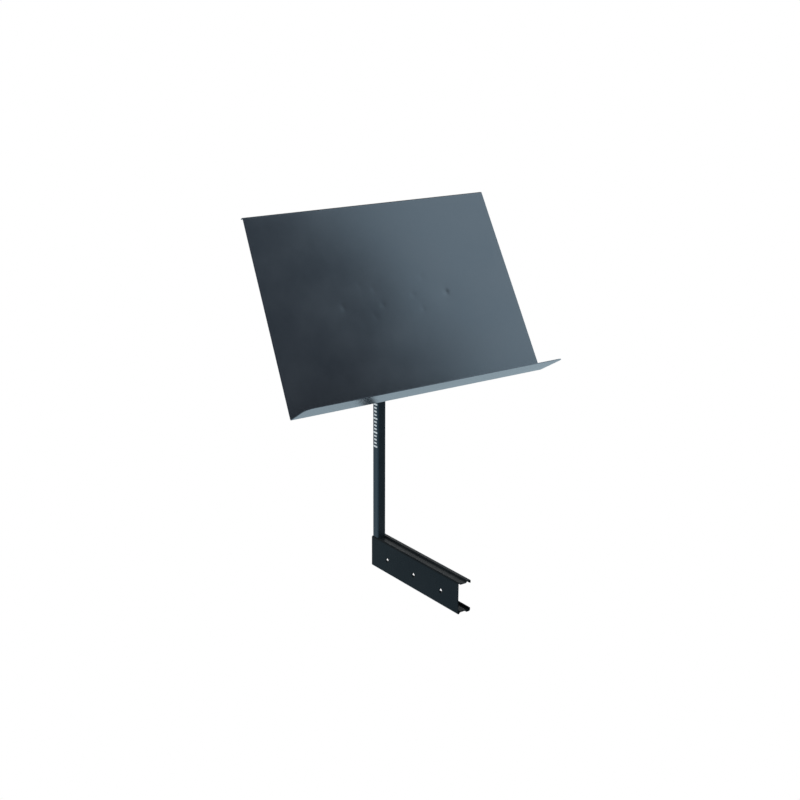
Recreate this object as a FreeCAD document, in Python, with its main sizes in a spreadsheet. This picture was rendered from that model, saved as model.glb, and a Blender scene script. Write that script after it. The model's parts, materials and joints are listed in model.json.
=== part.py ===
import FreeCAD, Part
import os
import Sketcher

# Add-on music desk for a keyboard stand.
#
# A folded steel channel bolts to an arm of the stand.  A square post rises from its rear end, and a
# folded sheet-steel desk with a ledge tilts on a clamp bolt at the post's top.
#
# Frame: the origin is the middle one of three countersunk holes, on the inner face of the channel's
# web.  +X is the reader's right, +Y points away from the reader and +Z is up.
# The desk's pieces are drawn upright, with the bend between plate and ledge on the X axis and the
# plate's front face at Y = 0.  Their placement then leans them back and lifts them to the pivot.

SIZES = [
    ("rail_length", 244, "channel, along Y"),
    ("rail_height", 56, "channel, along Z"),
    ("rail_width", 26.6, "channel, web to lip"),
    ("rail_wall", 2, "channel sheet"),
    ("rail_bend", 3, "outer radius of the channel's square bends"),
    ("rail_crease", 1, "radius of the creases beside the grooves"),
    ("lip_depth", 6, "inward lip on each flange"),
    ("bead_width", 3.6, "ridge between web and groove"),
    ("groove_floor", 10, "flat floor of the groove in each flange"),
    ("groove_depth", 2.6, "depth of that groove, with sides at 45 degrees"),
    ("hole_pitch", 76, "fixing holes, middle to middle"),
    ("hole_radius", 3.3, "fixing holes, for M6 screws"),
    ("sink_depth", 1.3, "countersink, at 90 degrees"),
    ("hole_height", 25, "fixing holes above the channel's underside"),
    ("post_side", 16, "square post"),
    ("post_wall", 1.5, "square post"),
    ("post_corner", 2, "outer radius of the post's corners"),
    ("post_length", 495, "square post"),
    ("post_notch_gap", 0.3, "play between post and the notch in the flange"),
    ("pivot_below_top", 12, "clamp bolt below the post's top end"),
    ("plug_play", 0.1, "play between the post's bore and its plugs"),
    ("foot_plug_length", 30, "threaded plug in the post's foot"),
    ("foot_screw_radius", 2.5, "M5"),
    ("foot_screw_length", 22, "under the head"),
    ("foot_head_radius", 4.75, "low head"),
    ("foot_head_height", 1.5, "low head, level with the channel's underside"),
    ("foot_key", 3, "hexagon key, across flats"),
    ("foot_washer_radius", 4.6, "spring washer"),
    ("foot_washer_thick", 1, "spring washer"),
    ("cap_thick", 2.5, "plate of the post's end cap"),
    ("cap_plug", 6, "part of the end cap inside the post"),
    ("sheet", 1.2, "desk sheet"),
    ("sheet_bend", 1.5, "inner radius of the desk's bends"),
    ("plate_height", 325.5, "desk plate, bend to top edge"),
    ("top_width", 474, "desk plate at its top edge"),
    ("bend_width", 500, "desk plate at the bend"),
    ("ledge_depth", 62.7, "ledge, bend to free edge"),
    ("edge_width", 510, "ledge at its free edge"),
    ("ledge_angle", 87.8, "inside angle between plate and ledge"),
    ("ledge_corner", 13, "radius of the ledge's free corners"),
    ("top_return", 8, "edge folded back along the top"),
    ("lean", 28.3, "plate's lean from upright at rest"),
    ("pivot_up", 183, "clamp bolt above the bend, along the plate"),
    ("pivot_back", 41.2, "clamp bolt behind the plate's front face"),
    ("doubler_thick", 2, "plate welded behind the desk"),
    ("doubler_up", 164, "middle of that plate above the bend"),
    ("doubler_length", 224, "tip to tip"),
    ("doubler_tip", 24, "height at the tips"),
    ("doubler_height", 68, "height of its middle part"),
    ("doubler_middle", 132, "length of its middle part"),
    ("ear_thick", 2, "tilt ears"),
    ("ear_foot", 18, "width of each ear's foot"),
    ("ear_height", 50, "height of each ear's foot"),
    ("ear_round", 13, "radius of the ear's round end"),
    ("ear_bend", 1, "inner radius of the ear's bend"),
    ("rivet_radius", 2.5, "rivet shank"),
    ("rivet_head", 4.5, "rivet head radius"),
    ("rivet_dome", 2, "rivet head height"),
    ("rivet_pitch", 30, "two rivets in each ear"),
    ("bolt_radius", 3, "M6 clamp bolt"),
    ("bolt_gap", 2.5, "between the bolt's end and the knob's lid"),
    ("bolt_head", 7, "domed head radius"),
    ("bolt_dome", 3.5, "domed head height"),
    ("bolt_play", 0.08, "running clearance round the bolt"),
    ("neck_margin", 0.2, "square neck under the bolt's head, wider than the shank"),
    ("neck_play", 0.1, "gap round the square neck"),
    ("ear_play", 0.3, "gap round the bolt in the ear and the washers"),
    ("bush_wall", 1.42, "sleeve through the post"),
    ("pad_radius", 10, "friction washers"),
    ("pad_thick", 1, "friction washers"),
    ("pad_gap", 0.15, "running gap between post and friction washer"),
    ("pad_lap", 0.016, "friction washers' rim over the bush's end"),
    ("washer_radius", 6, "flat washer"),
    ("washer_thick", 1.6, "flat washer"),
    ("spring_radius", 5.9, "spring washer"),
    ("spring_thick", 1.6, "spring washer"),
    ("split", 1.2, "gap in a spring washer"),
    ("split_slant", 20, "slant of that gap"),
    ("knob_radius", 15, "body of the knob between its lobes"),
    ("lobe_count", 5, "lobes round the knob"),
    ("lobe_radius", 7, "each lobe"),
    ("lobe_centre", 14, "lobes from the knob's axis"),
    ("knob_grip", 16, "length of the lobed part"),
    ("knob_neck", 9, "length of the neck"),
    ("neck_radius", 8, "neck of the knob"),
    ("knob_round", 2, "rounding of the grip's rims"),
    ("insert_wall", 1.92, "threaded insert"),
    ("insert_gap", 2, "between the insert and the knob's lid"),
    ("lid_radius", 8, "cover disc"),
    ("lid_thick", 2, "cover disc"),
    ("lid_crown", 0.8, "rise of its domed face"),
]

# Places worked out from the sizes, as expressions in the part's frame.
RAIL_MIDDLE = "(Sizes.rail_height / 2 - Sizes.hole_height)"
RAIL_BOTTOM = "(-Sizes.hole_height)"
REAR_END = "(Sizes.rail_length / 2)"
POST_MIDDLE_X = "(Sizes.post_side / 2)"
POST_MIDDLE_Y = f"({REAR_END} - Sizes.post_side / 2)"
POST_BORE = "(Sizes.post_side - 2 * Sizes.post_wall)"
FOOT_SEAT = f"({RAIL_BOTTOM} + Sizes.groove_depth + Sizes.rail_wall)"
POST_TOP = f"({FOOT_SEAT} + Sizes.post_length)"
PIVOT_Z = f"({POST_TOP} - Sizes.pivot_below_top)"
GROOVE_START = "(Sizes.bead_width + Sizes.groove_depth)"
GROOVE_END = f"({GROOVE_START} + Sizes.groove_floor)"
GROOVE_MIDDLE_X = f"(({GROOVE_START} + {GROOVE_END}) / 2 - Sizes.rail_wall)"
GROOVE_OUTSIDE = f"({RAIL_BOTTOM} + Sizes.groove_depth)"
RIM_FLAT = f"(Sizes.rail_width - {GROOVE_END} - Sizes.groove_depth)"
INSIDE_LOSS = "Sizes.rail_wall * (1 + tan(22.5))"
INSIDE_FLAT = f"(min(Sizes.bead_width; {RIM_FLAT} - Sizes.rail_crease / 2) - {INSIDE_LOSS})"
OUTER_BEND = f"min(Sizes.rail_bend; min(Sizes.bead_width; {RIM_FLAT}) - Sizes.rail_crease / 2)"
INNER_BEND = f"min((Sizes.rail_bend - Sizes.rail_wall) / 2; 0.7 * {INSIDE_FLAT})"
BOLT_BORE = "(Sizes.bolt_radius + Sizes.bolt_play)"
BUSH_RADIUS = f"({BOLT_BORE} + Sizes.bush_wall)"
PAD_BORE = f"({BUSH_RADIUS} - Sizes.pad_lap)"
INSERT_RADIUS = f"({BOLT_BORE} + Sizes.insert_wall)"
NECK_SIDE = "(2 * Sizes.bolt_radius + Sizes.neck_margin)"
EAR_BORE = "(Sizes.bolt_radius + Sizes.ear_play)"

# Places in the desk's own upright frame.
TAPER = "((Sizes.bend_width - Sizes.top_width) / 2 / Sizes.plate_height)"
FLARE = "((Sizes.edge_width - Sizes.bend_width) / 2 / Sizes.ledge_depth)"
EAR_INSIDE = "(Sizes.post_side / 2 + Sizes.pad_gap + Sizes.pad_thick)"
EAR_OUTSIDE = f"({EAR_INSIDE} + Sizes.ear_thick)"
EAR_FOOT_FRONT = "(Sizes.sheet + Sizes.doubler_thick)"
WASHER_OUTSIDE = f"({EAR_OUTSIDE} + Sizes.washer_thick)"
KNOB_START = f"({WASHER_OUTSIDE} + Sizes.spring_thick)"
GRIP_START = f"({KNOB_START} + Sizes.knob_neck)"
KNOB_END = f"({GRIP_START} + Sizes.knob_grip)"
LID_START = f"({KNOB_END} - Sizes.lid_thick)"
BOLT_LENGTH = f"({LID_START} + {EAR_OUTSIDE} - Sizes.bolt_gap)"
INSERT_LENGTH = f"({LID_START} - {KNOB_START} - Sizes.insert_gap)"
RIVET_X = f"({EAR_OUTSIDE} + (Sizes.ear_foot - Sizes.ear_thick) / 2)"

TOLERANCE = 1e-3

doc = FreeCAD.newDocument("MusicStand")
sizes = doc.addObject("Spreadsheet::Sheet", "Sizes")
nodes = []


def fill_sheet():
    """One row for each size: its name, its value with an alias, and what it measures."""
    for row, (name, value, note) in enumerate(SIZES, start=1):
        sizes.set(f"A{row}", name)
        sizes.set(f"B{row}", str(value))
        sizes.setAlias(f"B{row}", name)
        sizes.set(f"C{row}", note)
    doc.recompute()


def value(expression):
    """The number that an expression of the sheet gives now."""
    found = sizes.evalExpression(str(expression))
    return float(getattr(found, "Value", found))


def bind(thing, **expressions):
    """Tie properties to the sheet; a double underscore stands for the dot in a property's path."""
    for path, expression in expressions.items():
        thing.setExpression(path.replace("__", "."), str(expression))
    return thing


def at(thing, x, y, z, rotation=None):
    """Place an object by three expressions, turned by a fixed rotation."""
    if rotation is not None:
        thing.Placement = FreeCAD.Placement(FreeCAD.Vector(0, 0, 0), rotation)
    return bind(thing, Placement__Base__x=x, Placement__Base__y=y, Placement__Base__z=z)


ALONG = {
    "X": FreeCAD.Rotation(FreeCAD.Vector(0, 1, 0), 90),
    "-X": FreeCAD.Rotation(FreeCAD.Vector(0, 1, 0), -90),
    "Y": FreeCAD.Rotation(FreeCAD.Vector(1, 0, 0), -90),
    "Z": FreeCAD.Rotation(),
    "-Z": FreeCAD.Rotation(FreeCAD.Vector(1, 0, 0), 180),
}
PLANES = {
    "XY": FreeCAD.Rotation(),
    "XZ": FreeCAD.Rotation(FreeCAD.Vector(1, 0, 0), 90),
    "YZ": FreeCAD.Rotation(FreeCAD.Vector(1, 1, 1), 120),
}


def block(name, length, width, height, x, y, z):
    """A box from its low corner."""
    made = doc.addObject("Part::Box", name)
    bind(made, Length=length, Width=width, Height=height)
    return at(made, x, y, z)


def rod(name, radius, length, x, y, z, along="Z"):
    """A cylinder from its starting face."""
    made = doc.addObject("Part::Cylinder", name)
    bind(made, Radius=radius, Height=length)
    return at(made, x, y, z, ALONG[along])


def dome(name, radius, height, x, y, z, along):
    """A shallow spherical cap whose flat side is at the given point."""
    ball = f"(({radius})^2 + ({height})^2) / (2 * ({height}))"
    made = doc.addObject("Part::Sphere", name)
    bind(made, Radius=ball, Angle1=f"asin(({ball} - ({height})) / ({ball}))")
    drop = {"X": (f"{x} - {ball} + {height}", y, z), "-X": (f"{x} + {ball} - {height}", y, z)}
    drop["Y"] = (x, f"{y} - {ball} + {height}", z)
    drop["-Z"] = (x, y, f"{z} + {ball} - {height}")
    return at(made, *drop[along], ALONG[along])


def join(name, *pieces):
    """Several solids as one."""
    made = doc.addObject("Part::MultiFuse", name)
    made.Shapes = list(pieces)
    made.Refine = True
    return made


def group(name, pieces):
    """Several solids that stay separate, in one object."""
    made = doc.addObject("Part::Compound", name)
    made.Links = list(pieces)
    return made


def cut(name, base, tool):
    """One solid with another taken away."""
    made = doc.addObject("Part::Cut", name)
    made.Base = base
    made.Tool = tool
    return made


def ring(name, outer, inner, thick, x, y, z, along="X"):
    """A flat ring from its starting face."""
    disc = rod(f"{name}_disc", outer, thick, x, y, z, along)
    bore = rod(f"{name}_bore", inner, thick, x, y, z, along)
    return cut(name, disc, bore)


def draw(sketch, corners):
    """A closed outline whose corners are tied to the sheet, each by its two distances."""
    points = [FreeCAD.Vector(value(u), value(v), 0) for u, v in corners]
    count = len(points)
    for index in range(count):
        sketch.addGeometry(Part.LineSegment(points[index], points[(index + 1) % count]), False)
    for index in range(count):
        sketch.addConstraint(Sketcher.Constraint("Coincident", index, 2, (index + 1) % count, 1))
    for index, (u, v) in enumerate(corners):
        for kind, way, place in (("DistanceX", "u", u), ("DistanceY", "v", v)):
            number = sketch.addConstraint(Sketcher.Constraint(kind, -1, 1, index, 1, value(place)))
            sketch.renameConstraint(number, f"{way}{index}")
            sketch.setExpression(f"Constraints.{way}{index}", str(place))
    return sketch


def loose_outline(name, plane, corners):
    """An outline that stands on its own, for a Part extrusion."""
    sketch = doc.addObject("Sketcher::SketchObject", name)
    sketch.Placement = FreeCAD.Placement(FreeCAD.Vector(0, 0, 0), PLANES[plane])
    return draw(sketch, corners)


def body_outline(body, name, plane, corners):
    """An outline on one of a body's own origin planes."""
    sketch = body.newObject("Sketcher::SketchObject", name)
    role = f"{plane}_Plane"
    support = [item for item in body.Origin.OriginFeatures if item.Role == role][0]
    sketch.AttachmentSupport = [(support, "")]
    sketch.MapMode = "FlatFace"
    return draw(sketch, corners)


def pad(body, name, sketch, length, both_ways):
    """An outline made solid, to one side or equally to both."""
    made = body.newObject("PartDesign::Pad", name)
    made.Profile = sketch
    if both_ways:
        made.SideType = "Symmetric"
    bind(made, Length=length)
    body.Tip = made
    doc.recompute()
    return made


def extrude(name, sketch, way, length, back="0"):
    """An outline made solid along a direction."""
    made = doc.addObject("Part::Extrusion", name)
    made.Base = sketch
    made.DirMode = "Custom"
    made.Dir = FreeCAD.Vector(*way)
    made.Solid = True
    return bind(made, LengthFwd=length, LengthRev=back)


def edges_at(shape, axis, spots):
    """Names of the straight edges along one axis that pass through the given spots."""
    across = [other for other in range(3) if other != axis]
    found = []
    for number, edge in enumerate(shape.Edges, start=1):
        ends = [vertex.Point for vertex in edge.Vertexes]
        if len(ends) != 2 or not isinstance(edge.Curve, Part.Line):
            continue
        if any(abs(ends[0][way] - ends[1][way]) > TOLERANCE for way in across):
            continue
        place = [ends[0][way] for way in across]
        if any(abs(place[0] - u) + abs(place[1] - v) < TOLERANCE for u, v in spots):
            found.append(f"Edge{number}")
    return found


def soften(body, name, base, axis, corners, radius):
    """Round the edges that run along an axis through the given corners of an outline."""
    spots = [(value(u), value(v)) for u, v in corners]
    made = body.newObject("PartDesign::Fillet", name)
    made.Base = (base, edges_at(base.Shape, axis, spots))
    bind(made, Radius=radius)
    body.Tip = made
    doc.recompute()
    return made


def to_desk(thing):
    """Lean a piece of the desk back and lift it so that its pivot meets the post's."""
    reach = "(Sizes.pivot_back * cos(Sizes.lean) + Sizes.pivot_up * sin(Sizes.lean))"
    rise = "(Sizes.pivot_up * cos(Sizes.lean) - Sizes.pivot_back * sin(Sizes.lean))"
    lean = FreeCAD.Rotation(FreeCAD.Vector(-1, 0, 0), value("Sizes.lean"))
    at(thing, POST_MIDDLE_X, f"{POST_MIDDLE_Y} - {reach}", f"{PIVOT_Z} - {rise}", lean)
    return bind(thing, Placement__Rotation__Angle="Sizes.lean")


def finished(thing, name):
    """Give a sub-part the label that names its file."""
    thing.Label = name
    nodes.append(thing)
    return thing


# ---------------------------------------------------------------- the channel

def channel_corners():
    """The channel's section: bead, groove and rib in each flange, with a lip turned inwards.

    A groove's sides slope at 45 degrees, so the inner outline's creases are shifted by tan(22.5).
    """
    wall = "Sizes.rail_wall"
    half = "Sizes.rail_height / 2"
    shift = f"{wall} * tan(22.5)"
    far = f"(Sizes.rail_width - {wall})"
    groove = f"({half} - Sizes.groove_depth)"
    outer = [
        (f"-{wall}", half),
        (f"Sizes.bead_width - {wall}", half),
        (f"{GROOVE_START} - {wall}", groove),
        (f"{GROOVE_END} - {wall}", groove),
        (f"{GROOVE_END} + Sizes.groove_depth - {wall}", half),
        (far, half),
        (far, f"{half} - Sizes.lip_depth"),
    ]
    inner = [
        (f"{far} - {wall}", f"{half} - Sizes.lip_depth"),
        (f"{far} - {wall}", f"{half} - {wall}"),
        (f"{GROOVE_END} + Sizes.groove_depth + {shift} - {wall}", f"{half} - {wall}"),
        (f"{GROOVE_END} + {shift} - {wall}", f"{groove} - {wall}"),
        (f"{GROOVE_START} - {shift} - {wall}", f"{groove} - {wall}"),
        (f"Sizes.bead_width - {shift} - {wall}", f"{half} - {wall}"),
        ("0", f"{half} - {wall}"),
    ]
    top = [(u, f"{RAIL_MIDDLE} + ({v})") for u, v in outer + inner]
    bottom = [(u, f"{RAIL_MIDDLE} - ({v})") for u, v in outer + inner]
    return top, bottom


def rail_channel():
    """The folded channel with its fixing holes, the notch for the post and the foot screw's hole."""
    top, bottom = channel_corners()
    body = doc.addObject("PartDesign::Body", "channel_section")
    outline = body_outline(body, "channel_outline", "XZ", top + bottom[::-1])
    solid = pad(body, "channel_pad", outline, "Sizes.rail_length", True)
    outer_bends = [top[0], top[5], bottom[0], bottom[5]]
    inner_bends = [top[8], top[13], bottom[8], bottom[13]]
    creases = [side[index] for side in (top, bottom) for index in (1, 2, 3, 4, 9, 10, 11)]
    solid = soften(body, "outer_bends", solid, 1, outer_bends, OUTER_BEND)
    solid = soften(body, "inner_bends", solid, 1, inner_bends, INNER_BEND)
    soften(body, "creases", solid, 1, creases, "Sizes.rail_crease")
    reach = "Sizes.post_side + Sizes.post_notch_gap"
    tools = [block("post_notch", reach, reach, "Sizes.rail_height", "0", f"{REAR_END} - ({reach})", "0")]
    for number, step in enumerate((-1, 0, 1), start=1):
        along = f"{step} * Sizes.hole_pitch"
        radius = "Sizes.hole_radius"
        hole = rod(f"fixing_hole_{number}", radius, "Sizes.rail_wall", "-Sizes.rail_wall", along, "0", "X")
        tools.append(hole)
        sink = doc.addObject("Part::Cone", f"countersink_{number}")
        bind(sink, Radius1=f"{radius} + Sizes.sink_depth", Radius2=radius, Height="Sizes.sink_depth")
        tools.append(at(sink, "-Sizes.rail_wall", along, "0", ALONG["X"]))
    bore = "Sizes.foot_screw_radius + Sizes.ear_play"
    tools.append(rod("foot_hole", bore, "Sizes.rail_wall", GROOVE_MIDDLE_X, POST_MIDDLE_Y, GROOVE_OUTSIDE))
    finished(cut("rail_channel", body, join("channel_tools", *tools)), "rail_channel")


# ---------------------------------------------------------------- the post

def post_tube():
    """A square tube with round corners, open at both ends and bored for the bush near its top."""
    body = doc.addObject("PartDesign::Body", "tube_body")
    side = "Sizes.post_side"
    low = f"{POST_MIDDLE_Y} - {side} / 2"
    high = f"{POST_MIDDLE_Y} + {side} / 2"
    corners = [("0", low), (side, low), (side, high), ("0", high)]
    outline = body_outline(body, "tube_outline", "XY", corners)
    solid = pad(body, "tube_pad", outline, "Sizes.post_length", False)
    soften(body, "tube_corners", solid, 2, corners, "Sizes.post_corner")
    bind(body, Placement__Base__z=FOOT_SEAT)
    wall = "Sizes.post_wall"
    bore = block("tube_bore", POST_BORE, POST_BORE, "Sizes.post_length", wall, f"{low} + {wall}", FOOT_SEAT)
    seat = rod("bush_seat", BUSH_RADIUS, side, "0", POST_MIDDLE_Y, PIVOT_Z, "X")
    finished(cut("post_tube", body, join("tube_tools", bore, seat)), "post_tube")


def pivot_bush():
    """A sleeve through the post that the clamp bolt turns in, so that clamping can't crush the tube."""
    made = ring("pivot_bush", BUSH_RADIUS, BOLT_BORE, "Sizes.post_side", "0", POST_MIDDLE_Y, PIVOT_Z)
    finished(made, "pivot_bush")


def post_cap():
    """A moulded plug that closes the post's top end."""
    side = "Sizes.post_side"
    low = f"{POST_MIDDLE_Y} - {side} / 2"
    body = doc.addObject("PartDesign::Body", "cap_body")
    corners = [("0", low), (side, low), (side, f"{low} + {side}"), ("0", f"{low} + {side}")]
    outline = body_outline(body, "cap_outline", "XY", corners)
    solid = pad(body, "cap_pad", outline, "Sizes.cap_thick", False)
    soften(body, "cap_corners", solid, 2, corners, "Sizes.post_corner")
    bind(body, Placement__Base__z=POST_TOP)
    inset = "Sizes.post_wall + Sizes.plug_play"
    width = f"{POST_BORE} - 2 * Sizes.plug_play"
    start = f"{POST_TOP} - Sizes.cap_plug"
    plug = block("cap_plug", width, width, "Sizes.cap_plug", inset, f"{low} + {inset}", start)
    finished(join("post_cap", body, plug), "post_cap")


def foot_plug():
    """A threaded block in the post's foot, tapped on the line of the channel's groove."""
    inset = "Sizes.post_wall + Sizes.plug_play"
    width = f"{POST_BORE} - 2 * Sizes.plug_play"
    low = f"{POST_MIDDLE_Y} - ({width}) / 2"
    length = "Sizes.foot_plug_length"
    radius = "Sizes.foot_screw_radius"
    plug = block("plug_block", width, width, length, inset, low, FOOT_SEAT)
    thread = rod("plug_thread", radius, length, GROOVE_MIDDLE_X, POST_MIDDLE_Y, FOOT_SEAT)
    finished(cut("foot_plug", plug, thread), "foot_plug")


def split_washer(name, outer, inner, thick, x, y, z, along):
    """A spring washer: a ring with a slanted cut through one side."""
    whole = ring(f"{name}_ring", outer, inner, thick, x, y, z, along)
    gap = doc.addObject("Part::Box", f"{name}_gap")
    bind(gap, Length="Sizes.split", Width=outer, Height=f"2 * ({thick})")
    slant = FreeCAD.Rotation(FreeCAD.Vector(0, 1, 0), value("Sizes.split_slant"))
    turn = ALONG[along].multiply(slant)
    back = {"X": (f"{x} - ({thick}) / 2", y, z), "-Z": (x, y, f"{z} + ({thick}) / 2")}
    at(gap, *back[along], turn)
    return cut(name, whole, gap)


def foot_washer():
    """The spring washer under the foot screw's head."""
    inner = "Sizes.foot_screw_radius + Sizes.bolt_play"
    made = split_washer(
        "foot_washer", "Sizes.foot_washer_radius", inner, "Sizes.foot_washer_thick",
        GROOVE_MIDDLE_X, POST_MIDDLE_Y, GROOVE_OUTSIDE, "-Z",
    )
    finished(made, "foot_washer")


def foot_screw():
    """A low-head screw, up through the groove's floor into the foot plug."""
    seat = f"{GROOVE_OUTSIDE} - Sizes.foot_washer_thick"
    place = (GROOVE_MIDDLE_X, POST_MIDDLE_Y, seat)
    shank = rod("foot_shank", "Sizes.foot_screw_radius", "Sizes.foot_screw_length", *place)
    head = dome("foot_head", "Sizes.foot_head_radius", "Sizes.foot_head_height", *place, "-Z")
    key = doc.addObject("Part::Prism", "foot_key")
    key.Polygon = 6
    bind(key, Circumradius="Sizes.foot_key / sqrt(3)", Height="Sizes.foot_head_height / 2")
    at(key, GROOVE_MIDDLE_X, POST_MIDDLE_Y, f"{seat} - Sizes.foot_head_height")
    finished(cut("foot_screw", join("foot_blank", shank, head), key), "foot_screw")


# ---------------------------------------------------------------- the desk

def desk_plate():
    """One sheet: a plate that tapers upwards, a ledge folded forwards and a strip folded back on top."""
    sheet = "Sizes.sheet"
    tall = "Sizes.plate_height"
    bend = "Sizes.ledge_angle"
    heel = f"-{sheet} * (1 + cos({bend})) / sin({bend})"
    tip_y = f"-Sizes.ledge_depth * sin({bend})"
    tip_z = f"Sizes.ledge_depth * cos({bend})"
    corners = [
        ("0", "0"),
        ("0", tall),
        ("Sizes.top_return", tall),
        ("Sizes.top_return", f"{tall} - {sheet}"),
        (sheet, f"{tall} - {sheet}"),
        (sheet, heel),
        (f"{tip_y} - {sheet} * cos({bend})", f"{tip_z} - {sheet} * sin({bend})"),
        (tip_y, tip_z),
    ]
    body = doc.addObject("PartDesign::Body", "desk_body")
    outline = body_outline(body, "desk_outline", "YZ", corners)
    solid = pad(body, "desk_pad", outline, "Sizes.edge_width", False)
    solid = soften(body, "desk_inner_bends", solid, 0, [corners[0], corners[4]], "Sizes.sheet_bend")
    outside = f"Sizes.sheet_bend + {sheet}"
    soften(body, "desk_outer_bends", solid, 0, [corners[1], corners[5]], outside)
    half = "Sizes.bend_width / 2"
    beyond = "2 * Sizes.edge_width"
    low = "-2 * Sizes.ledge_depth"
    high = f"{tall} + Sizes.ledge_depth"
    side = [
        (f"{half} - {TAPER} * ({low})", low),
        (beyond, low),
        (beyond, high),
        (f"{half} - {TAPER} * ({high})", high),
    ]
    trim_outline = loose_outline("trim_outline", "XZ", side)
    trim = extrude("desk_trim", trim_outline, (0, -1, 0), "2 * Sizes.ledge_depth")
    bind(trim, LengthRev="Sizes.ledge_depth", Dir__x=FLARE)
    bind(trim, Dir__y=f"-sin({bend})", Dir__z=f"cos({bend})")
    trimmed = cut("desk_half_sharp", body, trim)
    doc.recompute()
    rounded = doc.addObject("Part::Fillet", "desk_half")
    rounded.Base = trimmed
    radius = value("Sizes.ledge_corner")
    rounded.Edges = [(number, radius, radius) for number in ledge_corner_edges(trimmed.Shape)]
    other = doc.addObject("Part::Mirroring", "desk_other_half")
    other.Source = rounded
    other.Normal = FreeCAD.Vector(1, 0, 0)
    finished(to_desk(join("desk_plate", rounded, other)), "desk_plate")


def ledge_corner_edges(shape):
    """Numbers of the short edges through the sheet at the ledge's free corner."""
    front = value("-Sizes.ledge_depth * sin(Sizes.ledge_angle) / 2")
    side = value("Sizes.top_width / 2")
    sheet = value("Sizes.sheet")
    found = []
    for number, edge in enumerate(shape.Edges, start=1):
        middle = edge.CenterOfMass
        if middle.y < front and middle.x > side and abs(edge.Length - sheet) < sheet / 2:
            found.append(number)
    return found


def rivet_places():
    """Signs that put one rivet in each half of each ear's foot."""
    return [(side, step) for side in (-1, 1) for step in (-1, 1)]


def rivet_hole(name, side, step, start, length):
    """A hole or shank on the line of one rivet."""
    z = f"Sizes.doubler_up + {step} * Sizes.rivet_pitch / 2"
    return rod(name, "Sizes.rivet_radius", length, f"{side} * {RIVET_X}", start, z, "Y")


def back_plate():
    """A six-sided plate, spot-welded behind the desk, that spreads the load of the tilt ears."""
    half = "Sizes.doubler_length / 2"
    middle = "Sizes.doubler_middle / 2"
    tall = "Sizes.doubler_height / 2"
    tip = "Sizes.doubler_tip / 2"
    right = [(half, f"-{tip}"), (half, tip), (middle, tall)]
    left = [(f"-{middle}", tall), (f"-{half}", tip), (f"-{half}", f"-{tip}"), (f"-{middle}", f"-{tall}")]
    corners = [(u, f"Sizes.doubler_up + ({v})") for u, v in [(middle, f"-{tall}")] + right + left]
    back_outline = loose_outline("back_outline", "XZ", corners)
    plate = extrude("back_blank", back_outline, (0, 1, 0), EAR_FOOT_FRONT)
    size = ("Sizes.doubler_length", "Sizes.sheet", "Sizes.doubler_height")
    skin = block("back_front", *size, f"-{half}", "0", f"Sizes.doubler_up - {tall}")
    holes = [
        rivet_hole(f"back_hole_{number}", side, step, "Sizes.sheet", "Sizes.doubler_thick")
        for number, (side, step) in enumerate(rivet_places(), start=1)
    ]
    finished(to_desk(cut("back_plate", plate, join("back_tools", skin, *holes))), "back_plate")


def tilt_ear(name, side):
    """An angle: its foot is riveted to the back plate and its round ear holds the clamp bolt."""
    inside = f"{side} * {EAR_INSIDE}"
    outside = f"{side} * {EAR_OUTSIDE}"
    foot_end = f"{side} * ({EAR_INSIDE} + Sizes.ear_foot)"
    front = EAR_FOOT_FRONT
    back = f"{front} + Sizes.ear_thick"
    end = "Sizes.pivot_back + Sizes.ear_round"
    foot = [(inside, front), (foot_end, front), (foot_end, back)]
    corners = foot + [(outside, back), (outside, end), (inside, end)]
    body = doc.addObject("PartDesign::Body", f"{name}_body")
    outline = body_outline(body, f"{name}_section", "XY", corners)
    solid = pad(body, f"{name}_pad", outline, "Sizes.pivot_up + Sizes.ear_height", False)
    solid = soften(body, f"{name}_inner", solid, 2, [corners[3]], "Sizes.ear_bend")
    soften(body, f"{name}_outer", solid, 2, [corners[0]], "Sizes.ear_bend + Sizes.ear_thick")
    low = "Sizes.doubler_up - Sizes.ear_height / 2"
    high = "Sizes.doubler_up + Sizes.ear_height / 2"
    shape = [
        (front, low),
        (back, low),
        ("Sizes.pivot_back", "Sizes.pivot_up - Sizes.ear_round"),
        ("Sizes.pivot_back", "Sizes.pivot_up + Sizes.ear_round"),
        (back, high),
        (front, high),
    ]
    reach = f"{EAR_INSIDE} + Sizes.ear_foot"
    side_view = loose_outline(f"{name}_side", "YZ", shape)
    slab = extrude(f"{name}_slab", side_view, (1, 0, 0), reach, reach)
    centre = (f"-({reach})", "Sizes.pivot_back", "Sizes.pivot_up")
    nose = rod(f"{name}_nose", "Sizes.ear_round", f"2 * ({reach})", *centre, "X")
    blank = doc.addObject("Part::Common", f"{name}_blank")
    blank.Base = body
    blank.Tool = join(f"{name}_profile", slab, nose)
    holes = [
        rivet_hole(f"{name}_hole_{number}", side, step, front, "Sizes.ear_thick")
        for number, step in enumerate((-1, 1), start=1)
    ]
    finished(to_desk(cut(name, blank, join(f"{name}_tools", bolt_opening(name, side), *holes))), name)


def bolt_opening(name, side):
    """A square hole for the bolt's neck in the left ear, and a round one in the right ear."""
    y = "Sizes.pivot_back"
    z = "Sizes.pivot_up"
    if side > 0:
        return rod(f"{name}_bolt", EAR_BORE, "Sizes.ear_thick", EAR_INSIDE, y, z, "X")
    square = f"({NECK_SIDE} + 2 * Sizes.neck_play)"
    low_corner = (f"-{EAR_OUTSIDE}", f"{y} - {square} / 2", f"{z} - {square} / 2")
    return block(f"{name}_bolt", "Sizes.ear_thick", square, square, *low_corner)


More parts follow.
